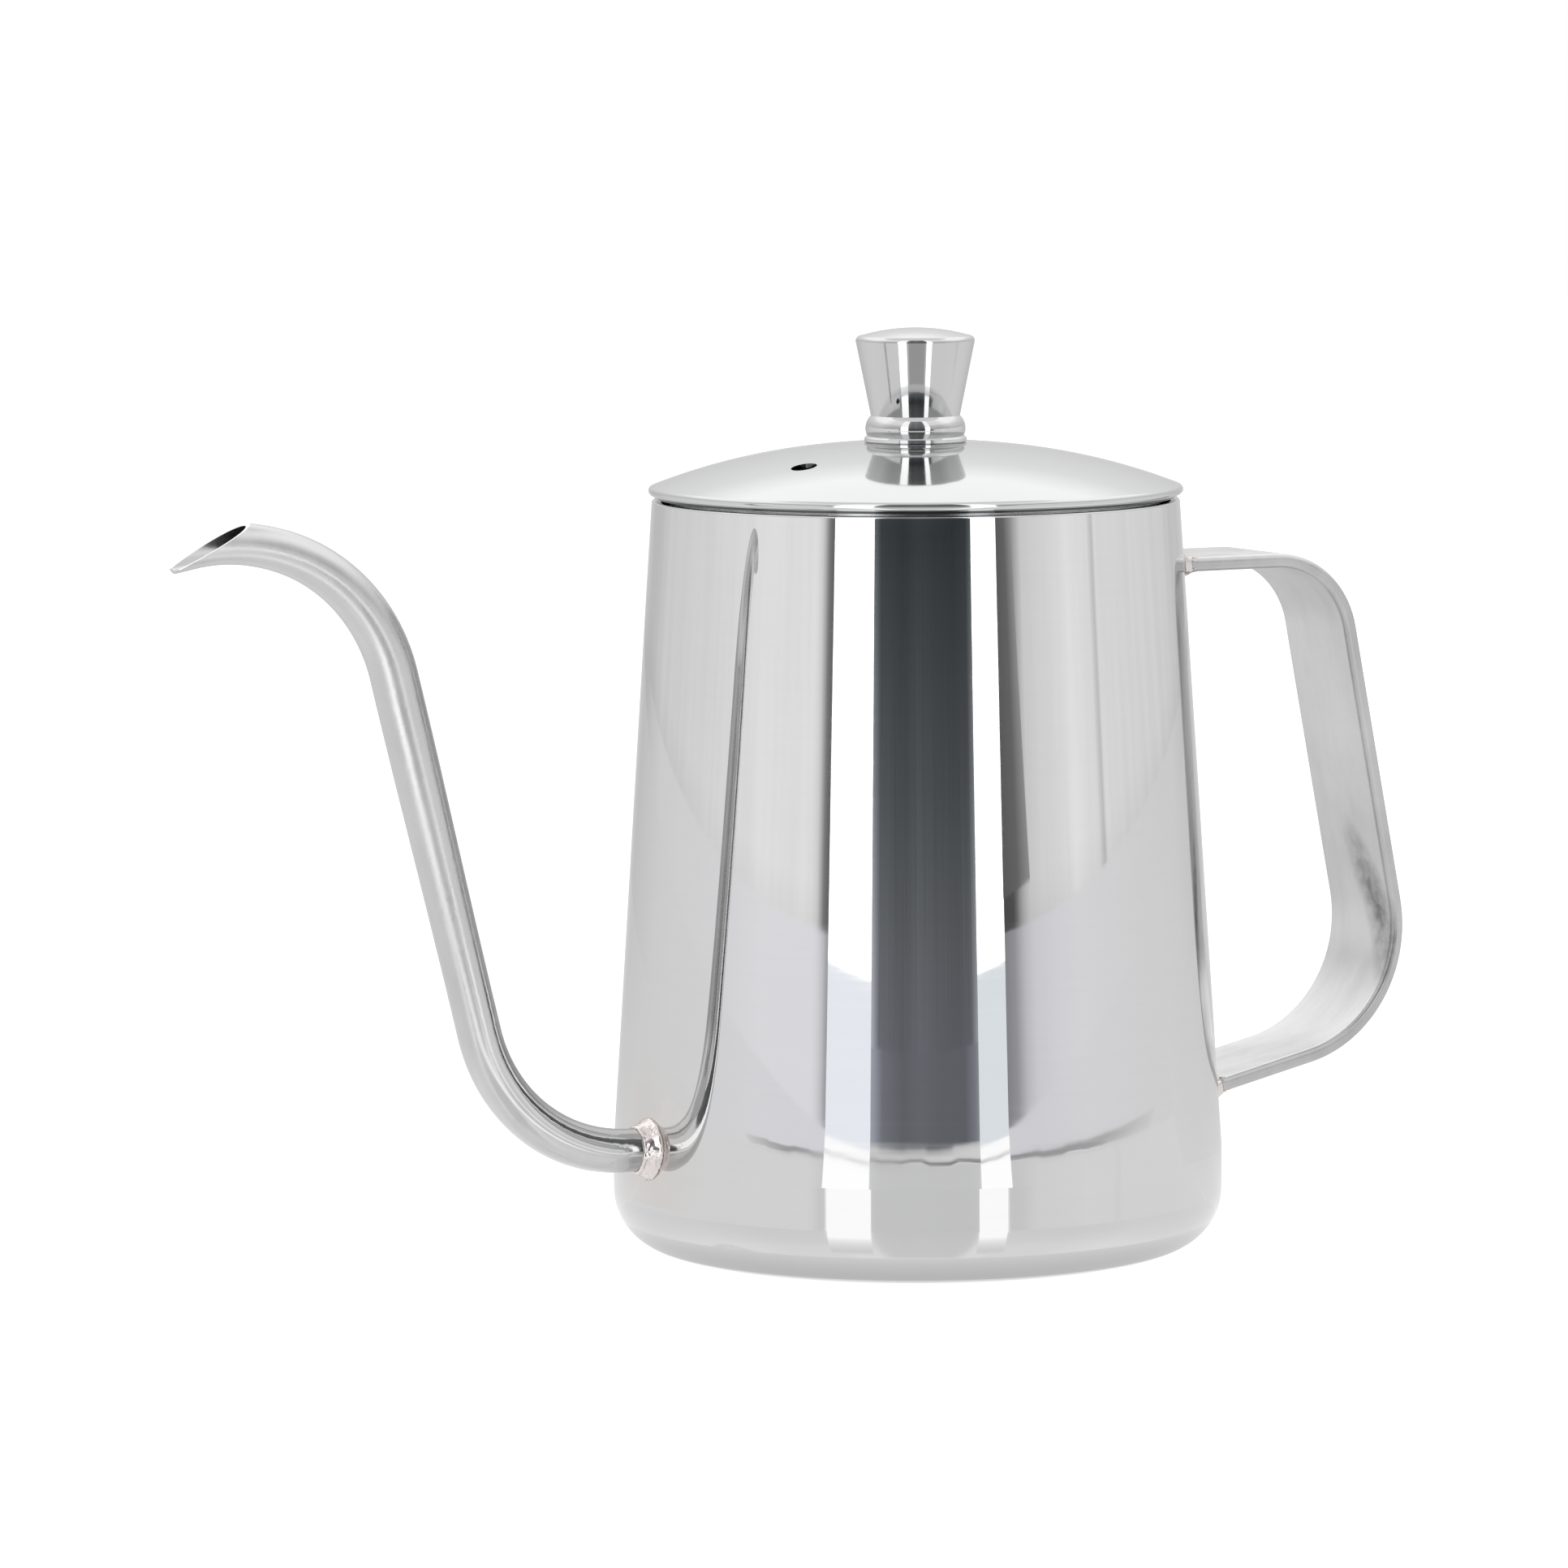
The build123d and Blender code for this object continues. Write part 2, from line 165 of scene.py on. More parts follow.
def turned_lines(tree, per_metre, run):
    """Fine marks that run round the kettle's axis, as a polishing wheel leaves them."""
    coord = add_node(tree, "ShaderNodeTexCoord")
    length = from_axis(tree, "LENGTH")
    unit = from_axis(tree, "NORMALIZE")
    around = add_node(tree, "ShaderNodeVectorMath", operation="SCALE")
    around.inputs["Scale"].default_value = run
    tree.links.new(unit, around.inputs[0])
    out = add_node(tree, "ShaderNodeCombineXYZ")
    tree.links.new(math_node(tree, "MULTIPLY", length, per_metre), out.inputs["Z"])
    place = add_node(tree, "ShaderNodeVectorMath", operation="ADD")
    tree.links.new(around.outputs["Vector"], place.inputs[0])
    tree.links.new(out.outputs["Vector"], place.inputs[1])
    split = add_node(tree, "ShaderNodeSeparateXYZ")
    tree.links.new(coord.outputs["Object"], split.inputs["Vector"])
    tex = add_node(tree, "ShaderNodeTexNoise", noise_dimensions="4D", Scale=1.0, Detail=2.0)
    tree.links.new(place.outputs["Vector"], tex.inputs["Vector"])
    tree.links.new(math_node(tree, "MULTIPLY", split.outputs["Z"], per_metre), tex.inputs["W"])
    return tex.outputs["Fac"]


def facing_axis(tree):
    """1 on surfaces that face the kettle's axis, 0 on those that face away."""
    geometry = add_node(tree, "ShaderNodeNewGeometry")
    dot = add_node(tree, "ShaderNodeVectorMath", operation="DOT_PRODUCT")
    tree.links.new(from_axis(tree, "NORMALIZE"), dot.inputs[0])
    tree.links.new(geometry.outputs["Normal"], dot.inputs[1])
    return spread(tree, dot.outputs["Value"], -0.2, -0.4, 0.0, 1.0)


def rim_painted_shade(tree):
    """Painted shade: 0.4 on faces that look straight up, such as the flat top of the body's rim
    under the lid's edge, 1 elsewhere.
    """
    return spread(tree, facing(tree, UP), 0.995, 0.999, 1.0, 0.4)


def bored_hole(tree, reach):
    """1 on upright faces within reach metres of the axis: the walls of holes in the lid, where
    mirror_steel paints shade.
    """
    upright = math_node(tree, "LESS_THAN", math_node(tree, "ABSOLUTE", facing(tree, UP)), 0.3)
    within = math_node(tree, "LESS_THAN", from_axis(tree, "LENGTH"), reach)
    return math_node(tree, "MULTIPLY", upright, within)


def near_point(tree, point, inner, outer, stretch=(1.0, 1.0, 1.0), lean=0.0):
    """1 within inner of a point, falling to 0 at outer; metres times stretch, leaning about x."""
    coord = add_node(tree, "ShaderNodeTexCoord")
    offset = add_node(tree, "ShaderNodeVectorMath", operation="SUBTRACT")
    offset.inputs[1].default_value = point
    tree.links.new(coord.outputs["Object"], offset.inputs[0])
    turned = add_node(tree, "ShaderNodeVectorRotate", rotation_type="X_AXIS")
    turned.inputs["Angle"].default_value = lean
    tree.links.new(offset.outputs["Vector"], turned.inputs["Vector"])
    scaled = add_node(tree, "ShaderNodeVectorMath", operation="MULTIPLY")
    scaled.inputs[1].default_value = stretch
    tree.links.new(turned.outputs["Vector"], scaled.inputs[0])
    dist = add_node(tree, "ShaderNodeVectorMath", operation="LENGTH")
    tree.links.new(scaled.outputs["Vector"], dist.inputs[0])
    return spread(tree, dist.outputs["Value"], inner, outer, 1.0, 0.0)


def steel_colour(tree, shader, colour, shade, tint=None, tint_amount=None):
    """Base colour scaled by shade, and pulled to tint where tint_amount is 1."""
    scaled = add_node(tree, "ShaderNodeVectorMath", operation="SCALE")
    scaled.inputs[0].default_value = colour
    tree.links.new(shade, scaled.inputs["Scale"])
    out = scaled.outputs["Vector"]
    if tint:
        mix = add_node(tree, "ShaderNodeMix", data_type="RGBA", blend_type="MULTIPLY")
        tree.links.new(tint_amount, mix.inputs["Factor"])
        tree.links.new(out, mix.inputs["A"])
        mix.inputs["B"].default_value = (*tint, 1.0)
        out = mix.outputs["Result"]
    tree.links.new(out, shader.inputs["Base Color"])
    shader.inputs["Metallic"].default_value = 1.0


def bump(tree, shader, height, strength, distance):
    node = add_node(tree, "ShaderNodeBump", Strength=strength, Distance=distance)
    tree.links.new(height, node.inputs["Height"])
    tree.links.new(node.outputs["Normal"], shader.inputs["Normal"])


# materials
HEAT_TINT = (1.0, 0.93, 0.89)
WELD_TINT = (1.0, 0.94, 0.92)
HOLE_PAINTED_SHADE = -0.85  # painted shade: darkening on the walls of the lid's holes and seat
INSIDE_PAINTED_LIGHT = 0.32  # painted light: faces towards the axis are made this much lighter; the inside is also rougher satin than the outside
INSIDE_ROUGH = 0.3
SCUFF_STRETCH = (100.0, 210.0, 60.0)  # one over the scuff's half sizes in metres
SCUFF_LEAN = 0.38


def mirror_steel(name, colour, rough, haze_rough, marks=900.0, tint_at=None, holes=0.0,
                 wave=0.00001, rim_shade=False):
    """Wheel-polished stainless steel: clear, with faint rings and hazier patches."""
    mat, tree, shader = new_material(name)
    rings = turned_lines(tree, marks, 2.2)
    haze = blotches(tree, 22.0)
    inside = facing_axis(tree)
    ring_shade = spread(tree, rings, 0.3, 0.7, 0.993, 1.004)
    shade = math_node(tree, "ADD", ring_shade, spread(tree, haze, 0.3, 0.7, -0.008, 0.010))
    # painted shade: the walls of the lid's holes and seat are darkened
    if holes:
        dark = math_node(tree, "MULTIPLY", bored_hole(tree, holes), HOLE_PAINTED_SHADE)
        shade = math_node(tree, "ADD", shade, dark)
    # painted light: faces towards the axis get a lighter colour
    shade = math_node(tree, "ADD", shade, math_node(tree, "MULTIPLY", inside, INSIDE_PAINTED_LIGHT))
    # painted shade: the flat top of the body's rim under the lid is darkened
    if rim_shade:
        shade = math_node(tree, "MULTIPLY", shade, rim_painted_shade(tree))
    if tint_at:
        amount = math_node(
            tree, "MULTIPLY", near_point(tree, tint_at, 0.006, 0.016), blotches(tree, 120.0)
        )
        steel_colour(tree, shader, colour, shade, HEAT_TINT, amount)
    else:
        steel_colour(tree, shader, colour, shade)
    patchy = math_node(tree, "MULTIPLY", rings, haze)
    polished = spread(tree, patchy, 0.15, 0.4, rough, haze_rough)
    satin = math_node(tree, "MULTIPLY", inside, INSIDE_ROUGH)
    tree.links.new(math_node(tree, "ADD", polished, satin), shader.inputs["Roughness"])
    bump(tree, shader, rings, 0.02, wave)
    return mat


def hand_steel(name, colour, rough, haze_rough, grain, grain_scale, relief, mottle=0.03,
               clear_at=None, scuff_at=None, cut=None, cut_span=(0.985, 0.998), painted_light_change=0.0):
    """Belt-polished satin: clearer at clear_at, rubbed at scuff_at, with painted light changed on
    faces along cut.
    """
    mat, tree, shader = new_material(name)
    streaks = blotches(tree, grain_scale, grain, 4.0, 0.6)
    haze = blotches(tree, 34.0, detail=4.0)
    shade = math_node(
        tree,
        "ADD",
        spread(tree, haze, 0.3, 0.7, 1.0 - mottle, 1.0 + mottle),
        spread(tree, streaks, 0.3, 0.7, -0.5 * mottle, 0.5 * mottle),
    )
    if scuff_at:
        nearness = near_point(tree, scuff_at, 0.0, 1.0, SCUFF_STRETCH, SCUFF_LEAN)
        inner_face = spread(tree, facing(tree, TO_SPOUT), 0.0, 0.2, 0.0, 1.0)
        scuff = math_node(
            tree, "MULTIPLY", spread(tree, nearness, 0.0, 0.8, 0.0, 1.1), inner_face
        )
        broken = math_node(tree, "MULTIPLY", scuff, blotches(tree, 480.0))
        shade = math_node(tree, "SUBTRACT", shade, broken)
    # painted light on faces along cut: a painted highlight where the change is above 0, painted
    # shade where it is below 0
    if cut:
        along = math_node(tree, "ABSOLUTE", facing(tree, cut))
        shade = math_node(tree, "ADD", shade, spread(tree, along, *cut_span, 0.0, painted_light_change))
    steel_colour(tree, shader, colour, shade)
    patchy = math_node(tree, "MULTIPLY", streaks, haze)
    satin = spread(tree, patchy, 0.12, 0.42, rough, haze_rough)
    if clear_at:
        clear = spread(tree, near_point(tree, clear_at, 0.022, 0.05), 0.0, 1.0, 1.0, 0.3)
        satin = math_node(tree, "MULTIPLY", satin, clear)
    tree.links.new(satin, shader.inputs["Roughness"])
    bump(tree, shader, streaks, relief, 0.0002)
    return mat


def braze_metal(name, colour):
    """Dressed braze and weld metal: bright, slightly warm and dimpled."""
    mat, tree, shader = new_material(name)
    dimples = blotches(tree, 700.0, detail=2.0)
    patches = blotches(tree, 240.0, detail=3.0)
    shade = spread(tree, patches, 0.3, 0.7, 0.88, 1.06)
    steel_colour(tree, shader, colour, shade, WELD_TINT, patches)
    tree.links.new(spread(tree, dimples, 0.3, 0.7, 0.10, 0.26), shader.inputs["Roughness"])
    bump(tree, shader, dimples, 0.35, 0.0002)
    return mat


BODY_WAVE = 0.0000015  # a higher wave would bend the mirrored table's edge
SEAT_REACH = 0.0426  # radius inside which upright faces of the lid belong to its holes and seat, and get painted shade
SPOUT_CUT = (-0.466, 0.0, 0.885)  # normal of the slanted cut at the spout's tip
STRAP_SIDE = (0.0, 1.0, 0.0)  # across the handle's strap

spout_root = (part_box("spout_collar")[0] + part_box("spout_collar")[1]) / 2
# the body gets painted shade on its rim's flat top, in the gap under the lid
body_mat = mirror_steel(
    "body_steel", (0.61, 0.61, 0.61), 0.01, 0.035,
    tint_at=tuple(spout_root), wave=BODY_WAVE, rim_shade=True
)
base_mat = mirror_steel("base_steel", (0.61, 0.61, 0.61), 0.03, 0.07)
knob_mat = mirror_steel("knob_steel", (0.57, 0.57, 0.57), 0.03, 0.07, marks=2200.0)
lid_mat = mirror_steel(
    "lid_steel", (0.57, 0.577, 0.577), 0.05, 0.11, marks=1400.0, holes=SEAT_REACH
)
# the faces of the slanted cut at the spout's tip are made lighter: a painted highlight
spout_mat = hand_steel(
    "spout_steel", (0.54, 0.54, 0.54), 0.22, 0.34, (1.0, 1.0, 0.2), 420.0, 0.015, 0.05,
    clear_at=tuple(spout_root), cut=SPOUT_CUT, painted_light_change=0.7
)
strap_low, strap_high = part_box("handle_strap")
SCUFF_UP = 0.335  # height of the scuff's middle on the strap, as a share of the strap's height
scuff = (
    strap_high.x - 0.0035,
    strap_low.y + 0.0046,
    strap_low.z + SCUFF_UP * (strap_high.z - strap_low.z),
)
# the strap's edges are made darker: painted shade that tones down their highlight
handle_mat = hand_steel(
    "handle_steel", (0.68, 0.68, 0.68), 0.28, 0.46, (1.0, 2.0, 0.5), 150.0, 0.02, 0.13,
    scuff_at=scuff, cut=STRAP_SIDE, cut_span=(0.4, 0.75), painted_light_change=-0.30
)
skirt_mat = hand_steel(
    "skirt_steel", (0.58, 0.58, 0.59), 0.18, 0.34, (0.4, 0.4, 5.0), 320.0, 0.08
)
fastener_mat = hand_steel(
    "fastener_steel", (0.52, 0.52, 0.53), 0.22, 0.36, (1.0, 1.0, 4.0), 900.0, 0.1
)
braze_mat = braze_metal("braze_steel", (0.70, 0.67, 0.66))

looks = {
    "body_shell": body_mat,
    "base_pan": base_mat,
    "spout_tube": spout_mat,
    "handle_strap": handle_mat,
    "lid_cover": lid_mat,
    "lid_skirt": skirt_mat,
    "knob": knob_mat,
    "knob_screw": fastener_mat,
    "knob_washer": fastener_mat,
    "knob_lock_washer": fastener_mat,
}
for name, mat in looks.items():
    mesh = nodes[name].data
    mesh.materials.clear()
    mesh.materials.append(mat)


# braze ring and weld beads: the CAD shapes, made uneven as run metal is
def run_metal(name, node, voxel, lump, lump_size):
    """Fine copy of a CAD node whose surface swells unevenly by up to lump metres."""
    mesh = nodes[node].data.copy()
    obj = bpy.data.objects.new(name, mesh)
    bpy.context.scene.collection.objects.link(obj)
    remesh = obj.modifiers.new("remesh", "REMESH")
    remesh.mode = "VOXEL"
    remesh.voxel_size = voxel
    smooth = obj.modifiers.new("smooth", "SMOOTH")
    smooth.iterations = 6
    fine = bpy.data.meshes.new_from_object(obj.evaluated_get(bpy.context.evaluated_depsgraph_get()))
    obj.modifiers.clear()
    obj.data = fine
    for v in fine.vertices:
        swell = noise.noise(v.co / lump_size) + 0.5 * noise.noise(v.co * 2.3 / lump_size)
        v.co += v.normal * lump * (0.35 + 0.65 * swell)
    for poly in fine.polygons:
        poly.use_smooth = True
    fine.materials.clear()
    fine.materials.append(braze_mat)
    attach(obj, "kettle")
    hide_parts(node)
    return obj


run_metal("braze_ring", "spout_collar", 0.0002, 0.00028, 0.0014)
run_metal("weld_upper", "handle_weld_upper", 0.0003, 0.0003, 0.0018)
run_metal("weld_lower", "handle_weld_lower", 0.0003, 0.0003, 0.0018)


# studio: what the polished steel mirrors, on cards that only reflections see
WALL_DIST = 1.42  # tent wall, from the kettle
WALL_MID = 0.24  # above this the wall is evenly light
WALL_TOP = 2.4
STRIP_L = (-34.3, -17.3)  # soft boxes, degrees to the camera's right
STRIP_R = (23.0, 34.0)
GAP = (-18.0, 24.0)  # dark room seen between them
TABLE_MID = (-0.02, 0.40)  # middle of the oval table top, side and front
TABLE_IN = (0.55, 0.685)
TABLE_OUT = (0.60, 0.75)
STRIP_FOOT = 0.052  # the soft boxes are full from here
STRIP_TOP = 0.62  # to here, and dimmer above
SOFT_BOX = 2.6
SOFT_BOX_TOP = 1.6
FOOT_R = 0.05  # outer radius of the kettle's foot
EVEN = [(0.0, 1.0), (1.0, 1.0)]
FOLD_SCALE = (90.0, 1.2, 1.0)  # folds of cloth, across and up a card
GAP_LOW = 0.03
GAP_HIGH = 0.20
NEAR = (0.24, 0.42)  # floor that the knob mirrors
# metres above the floor, so that no two floor cards share a plane
UP_GROUND, UP_GAP, UP_TABLE, UP_BACK, UP_CONTACT = 0.0002, 0.0004, 0.0006, 0.0009, 0.0010
UP_RIM, UP_FOOT, UP_STRIP, UP_MIRRORED, UP_NEAR = 0.0011, 0.0013, 0.0014, 0.0015, 0.0016

world = bpy.data.worlds.new("studio")
bpy.context.scene.world = world
world.use_nodes = True
world.node_tree.nodes["Background"].inputs["Color"].default_value = (1.0, 1.0, 1.0, 1.0)
world.node_tree.nodes["Background"].inputs["Strength"].default_value = 1.0


def ramp_node(tree, value, stops):
    """Colour ramp through (place, luminance or colour) stops."""
    node = add_node(tree, "ShaderNodeValToRGB")
    elements = node.color_ramp.elements
    while len(elements) < len(stops):
        elements.new(0.5)
    for element, (place, colour) in zip(elements, stops):
        element.position = place
        rgb = (colour, colour, colour) if isinstance(colour, (int, float)) else colour
        element.color = (*rgb, 1.0)
    tree.links.new(value, node.inputs["Fac"])
    return node.outputs["Color"]


def glow(name, across=None, upright=None, plain=None, folds=0.0):
    """Glowing card: stops across it, up it, or both multiplied, or one plain colour."""
    mat = bpy.data.materials.new(name)
    mat.use_nodes = True
    tree = mat.node_tree
    tree.nodes.clear()
    emit = add_node(tree, "ShaderNodeEmission", Strength=1.0)
    out = add_node(tree, "ShaderNodeOutputMaterial")
    tree.links.new(emit.outputs["Emission"], out.inputs["Surface"])
    if plain is not None:
        rgb = (plain, plain, plain) if isinstance(plain, (int, float)) else plain
        emit.inputs["Color"].default_value = (*rgb, 1.0)
        return mat
    coord = add_node(tree, "ShaderNodeTexCoord")
    split = add_node(tree, "ShaderNodeSeparateXYZ")
    tree.links.new(coord.outputs["UV"], split.inputs["Vector"])
    both = add_node(tree, "ShaderNodeVectorMath", operation="MULTIPLY")
    tree.links.new(ramp_node(tree, split.outputs["X"], across or EVEN), both.inputs[0])
    tree.links.new(ramp_node(tree, split.outputs["Y"], upright or EVEN), both.inputs[1])
    tree.links.new(both.outputs["Vector"], emit.inputs["Color"])
    if folds:
        tex = add_node(tree, "ShaderNodeTexNoise", noise_dimensions="2D", Scale=1.0, Detail=3.0)
        stretch = add_node(tree, "ShaderNodeMapping")
        stretch.inputs["Scale"].default_value = FOLD_SCALE
        tree.links.new(coord.outputs["UV"], stretch.inputs["Vector"])
        tree.links.new(stretch.outputs["Vector"], tex.inputs["Vector"])
        tree.links.new(spread(tree, tex.outputs["Fac"], 0.3, 0.7, 1.0 - folds, 1.0 + folds),
                       emit.inputs["Strength"])
    return mat


def unseen(name, verts, faces, uvs, mat):
    """Stage card that only reflections see."""
    mesh = bpy.data.meshes.new(name)
    mesh.from_pydata(verts, [], faces)
    layer = mesh.uv_layers.new(name="card")
    for loop in mesh.loops:
        layer.data[loop.index].uv = uvs[loop.vertex_index]
    obj = bpy.data.objects.new(name, mesh)
    mesh.materials.append(mat)
    bpy.context.scene.collection.objects.link(obj)
    obj.visible_camera = False
    obj.visible_diffuse = False
    obj.visible_shadow = False
    return obj


def grid(name, mat, steps, near_edge, far_edge):
    """Card between two edges, each a function of 0..1 that gives a (side, front, up) point."""
    verts, faces, uvs = [], [], []
    for i in range(steps + 1):
        t = i / steps
        verts += [to_row(*near_edge(t)), to_row(*far_edge(t))]
        uvs += [(t, 0.0), (t, 1.0)]
        if i:
            k = 2 * i
            faces.append((k - 2, k, k + 1, k - 1))
    return unseen(name, verts, faces, uvs, mat)


def around(azimuth, dist, up):
    a = math.radians(azimuth)
    return dist * math.sin(a), dist * math.cos(a), up


def card(name, mat, azimuths, dist, low, high, azimuths_top=None, steps=24):
    """Upright curved card; low and high are heights or functions of the azimuth."""
    bottom, top = azimuths, azimuths_top or azimuths

    def edge(ends, height):
        def point(t):
            azimuth = ends[0] + (ends[1] - ends[0]) * t
            return around(azimuth, dist, height(azimuth) if callable(height) else height)
        return point

    return grid(name, mat, steps, edge(bottom, low), edge(top, high))


def fan(name, mat, azimuths, near, far, up, steps=24, azimuths_far=None):
    """Flat card on the floor."""
    def edge(ends, dist):
        return lambda t: around(ends[0] + (ends[1] - ends[0]) * t, dist, up)
    return grid(name, mat, steps, edge(azimuths, near), edge(azimuths_far or azimuths, far))


def foot_strip(name, mats, ends, dists, up):
    """Floor card in lengths that the kettle's foot mirrors as one straight upright strip."""
    def seen(dist):
        return tuple(azimuth * (1.0 - 0.5 * FOOT_R / dist) for azimuth in ends)
    for i, mat in enumerate(mats):
        near, far = dists[i], dists[i + 1]
        fan(name + str(i), mat, seen(near), near, far, up, azimuths_far=seen(far))


def oval(name, mat, inner, outer, up, azimuths=(-180, 180), steps=96):
    """Flat oval ring on the floor, about the table's middle."""
    def edge(half):
        def point(t):
            a = math.radians(azimuths[0] + (azimuths[1] - azimuths[0]) * t)
            return TABLE_MID[0] + half[0] * math.sin(a), TABLE_MID[1] + half[1] * math.cos(a), up
        return point
    return grid(name, mat, steps, edge(inner), edge(outer))


def hem(azimuth):
    """Height of the line where the tent's wall starts, lower behind the kettle."""
    return 0.066 - 0.053 * (abs(azimuth) / 150) ** 1.6


def turn(stops):
    """Stops given in degrees to the camera's right, as stops from 0 to 1 over a full turn."""
    return [((azimuth + 180) / 360, value) for azimuth, value in stops]


def cooled(stops):
    """Grey stops, turned slightly violet towards the camera's side."""
    out = []
    for azimuth, value in stops:
        amount = max(0.0, 1.0 - abs(azimuth) / 115)
        out.append((azimuth, (value, value * (1 - 0.022 * amount), value * (1 + 0.055 * amount))))
    return out


wall_tones = turn([
    (-180, 0.72), (-152, 0.66), (-141, 0.75), (-132, 0.90), (-118, 0.96),
    (-98, 1.04), (-72, 1.12), (-62, 1.20), (-56, 1.16), (-42, 1.17), (-39.6, 1.02), (-37.6, 0.55),
    (-36.2, 0.22), (-33, 0.20), (33, 0.10), (38.6, 0.13), (41.5, 0.58), (45, 0.93), (53, 1.02),
    (61, 1.10), (66, 1.20), (72, 1.13), (78.4, 1.10), (79.2, 0.70), (80.0, 0.72), (80.8, 1.10),
    (92, 1.06), (118, 1.0), (132, 0.90), (141, 0.78), (152, 0.72), (180, 0.72),
])
low_tones = turn(cooled([
    (-180, 0.62), (-160, 0.58), (-150, 0.64), (-140, 0.80), (-128, 0.94), (-110, 1.0),
    (-80, 1.05), (-62, 1.12), (-40, 1.12), (-37, 0.92), (-35.4, 0.62), (-34, 0.48), (34, 0.36),
    (38, 0.46), (42, 0.78), (46, 0.95), (56, 1.03), (66, 1.06), (90, 1.02), (110, 0.98),
    (128, 0.93), (140, 0.80), (150, 0.64), (160, 0.56), (180, 0.62),
]))
ground_tones = turn(cooled([
    (-180, 0.70), (-155, 0.68), (-140, 0.82), (-125, 0.94), (-110, 0.99), (-62, 1.06), (-40, 1.05),
    (46, 1.0), (66, 1.04), (110, 0.99), (125, 0.94), (140, 0.82), (155, 0.68), (180, 0.70),
]))
full = (-180, 180)

card("wall", glow("wall_glow", wall_tones, [(0.0, 0.93), (0.08, 1.0), (1.0, 1.0)], folds=0.025),
     full, WALL_DIST, hem, WALL_MID, steps=180)
high_tones = turn([
    (-180, 1.0), (-140, 1.0), (-90, 1.05), (-60, 0.8),
    (60, 0.8), (90, 1.05), (140, 1.0), (180, 1.0),
])
high_rise = [(0.0, 0.70), (0.1, 0.84), (0.25, 1.05), (0.4, 1.45), (1.0, 1.5)]
card("wall_high", glow("wall_high_glow", high_tones, high_rise),
     full, WALL_DIST, WALL_MID, WALL_TOP, steps=60)
card("wall_low", glow("wall_low_glow", low_tones), full, WALL_DIST, -0.02, hem, steps=180)
fan("ground", glow("ground_glow", ground_tones), full, 0.2, WALL_DIST, UP_GROUND, 180)

gap_low = (0.185, 0.195, 0.22)
gap_mid = (0.055, 0.063, 0.068)
gap_tones = [(0.0, gap_low), (0.2, (0.165, 0.175, 0.19)), (0.5, (0.11, 0.12, 0.13)), (1.0, gap_mid)]
gap_high = [
    (0.0, gap_mid), (0.05, (0.13, 0.14, 0.145)),
    (0.2, (0.21, 0.22, 0.22)), (1.0, (0.34, 0.35, 0.35)),
]
gap_across = [
    (0.0, 4.2), (0.04, 2.7), (0.085, 1.2), (0.3, 0.9), (0.45, 1.12), (0.62, 0.95), (0.8, 0.85),
    (0.92, 1.0), (0.96, 2.2), (1.0, 3.6),
]
gap_across_low = [
    (0.0, 3.0), (0.05, 2.4), (0.12, 1.3), (0.3, 0.95), (0.45, 1.08), (0.62, 0.97), (0.85, 0.95),
    (0.94, 1.5), (1.0, 2.6),
]
at_gap = WALL_DIST - 0.01
card("gap_low", glow("gap_low_glow", gap_across_low, [(0.0, gap_low), (1.0, gap_low)]),
     GAP, at_gap, 0.0, GAP_LOW)
card("gap", glow("gap_glow", gap_across, gap_tones, folds=0.08), GAP, at_gap, GAP_LOW, GAP_HIGH)
card("gap_high", glow("gap_high_glow", gap_across, gap_high), GAP, at_gap, GAP_HIGH, WALL_TOP)
gap_floor = [(0.0, 1.05), (0.5, 1.0), (0.85, 0.85), (1.0, 0.6)]
fan("gap_floor", glow("gap_floor_glow", upright=gap_floor), GAP, 1.13, at_gap, UP_GAP)

soft_box = glow("soft_box", plain=SOFT_BOX)
soft_box_top = glow("soft_box_top", plain=SOFT_BOX_TOP)
at_strips = WALL_DIST - 0.02
for side, ends, low_light, rim_at in (
    ("left", STRIP_L, (1.27, 1.32, 1.40), 0.72), ("right", STRIP_R, (1.12, 1.18, 1.24), 0.69)
):
    dim = glow("strip_low_" + side, plain=low_light)
    card("strip_" + side, soft_box, ends, at_strips, STRIP_FOOT, STRIP_TOP)
    card("strip_top_" + side, soft_box_top, ends, at_strips, STRIP_TOP, WALL_TOP)
    card("strip_low_" + side, dim, ends, at_strips, 0.0, STRIP_FOOT)
    fan("strip_floor_" + side, dim, ends, 1.2, at_strips, UP_STRIP)
    mirrored = glow("strip_table_" + side, upright=[
        (0.0, 1.62), (rim_at - 0.045, 1.62), (rim_at - 0.02, 0.95),
        (rim_at + 0.02, 0.95), (rim_at + 0.045, 1.62), (1.0, 1.6),
    ])
    fan("strip_table_" + side, mirrored, ends, 0.35, 1.21, UP_MIRRORED)
    fan("strip_near_" + side, glow("strip_near_" + side, plain=2.2), ends, *NEAR, UP_NEAR)
    foot_mat = glow("strip_foot_" + side, plain=1.56)
    foot_end = glow("strip_foot_end_" + side, upright=[(0.0, 0.95), (1.0, 1.56)])
    foot_strip("strip_foot_" + side, [foot_end] + 4 * [foot_mat], ends,
               (0.0535, 0.07, 0.085, 0.105, 0.14, 0.24), UP_FOOT)
gap_near = [(0.0, 0.9), (0.12, 0.5), (0.88, 0.5), (1.0, 0.9)]
fan("gap_near", glow("gap_near", gap_near), (-17, 23), *NEAR, UP_NEAR)

card("wedge", glow("wedge_glow", [(0.0, 0.16), (0.55, 0.20), (1.0, 0.42)]),
     (33.8, 45.0), WALL_DIST - 0.03, 0.072, GAP_HIGH, (33.8, 40.0))

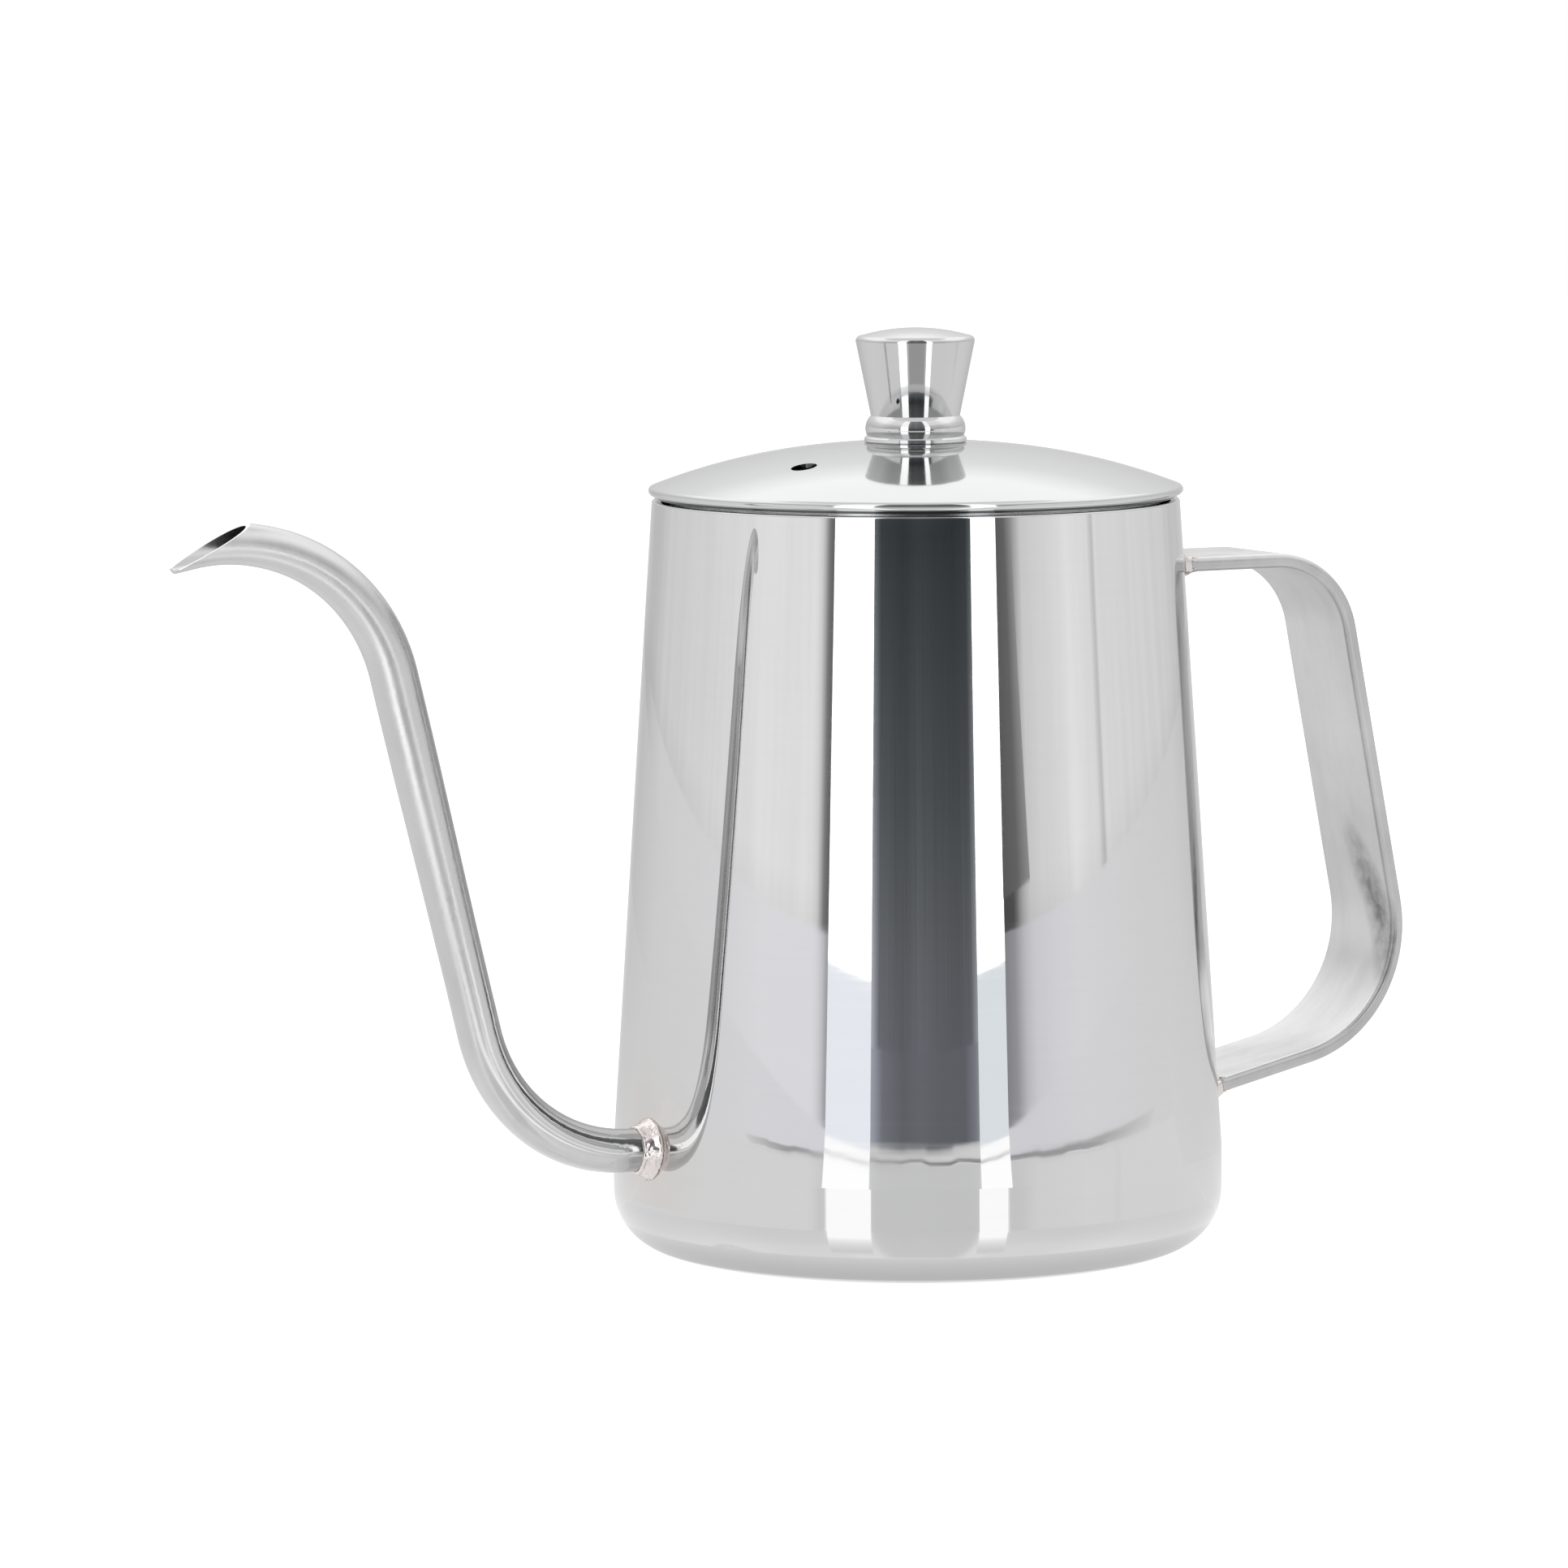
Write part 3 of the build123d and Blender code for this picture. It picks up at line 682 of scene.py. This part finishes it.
table_mat, table_tree, table_shader = new_material("table_glow")
table_tree.nodes.remove(table_shader)
table_emit = add_node(table_tree, "ShaderNodeEmission", Strength=0.85)
table_gloss = add_node(table_tree, "ShaderNodeBsdfGlossy", Roughness=0.13)
table_gloss.inputs["Color"].default_value = (0.18, 0.18, 0.18, 1.0)
table_sum = add_node(table_tree, "ShaderNodeAddShader")
table_tree.links.new(table_emit.outputs["Emission"], table_sum.inputs[0])
table_tree.links.new(table_gloss.outputs["BSDF"], table_sum.inputs[1])
table_out = table_tree.nodes["Material Output"]
table_tree.links.new(table_sum.outputs["Shader"], table_out.inputs["Surface"])
oval("table", table_mat, (0.0, 0.0), TABLE_IN, UP_TABLE)
rim_tones = [(0.0, 0.95), (0.08, 0.5), (0.4, 0.34), (0.6, 0.34), (0.9, 0.55), (1.0, 0.95)]
oval("table_rim", glow("table_rim_glow", rim_tones), TABLE_IN, TABLE_OUT, UP_RIM, (-100, 128))
back_tones = [(0.0, 1.0), (0.3, 0.92), (0.62, 0.74), (1.0, 0.70)]
for side in (-1, 1):
    fan("back_table" + str(side), glow("back_table_glow", back_tones),
        (side * 108, side * 180), 0.045, 0.62, UP_BACK)
# painted shadow: a floor card that only reflections see, darker near the kettle's foot where its
# contact shadow falls
contact_shadow_tones = [(0.0, 0.45), (0.45, 0.62), (1.0, 0.97)]
fan("contact", glow("contact_shadow_glow", upright=contact_shadow_tones), full, 0.036, 0.051, UP_CONTACT, 96)

# floor
HALF = 3.0
floor_mesh = bpy.data.meshes.new("floor")
corners = [(-HALF, -HALF, 0), (HALF, -HALF, 0), (HALF, HALF, 0), (-HALF, HALF, 0)]
floor_mesh.from_pydata(corners, [], [(0, 1, 2, 3)])
floor = bpy.data.objects.new("floor", floor_mesh)
bpy.context.scene.collection.objects.link(floor)
floor_mat, _, floor_shader = new_material("pale_floor")
floor_shader.inputs["Base Color"].default_value = (0.45, 0.45, 0.45, 1.0)
floor_shader.inputs["Roughness"].default_value = 0.6
floor_shader.inputs["Specular IOR Level"].default_value = 0.1
floor_shader.inputs["Emission Color"].default_value = (1.0, 1.0, 1.0, 1.0)
floor_shader.inputs["Emission Strength"].default_value = 0.80
floor_mesh.materials.append(floor_mat)
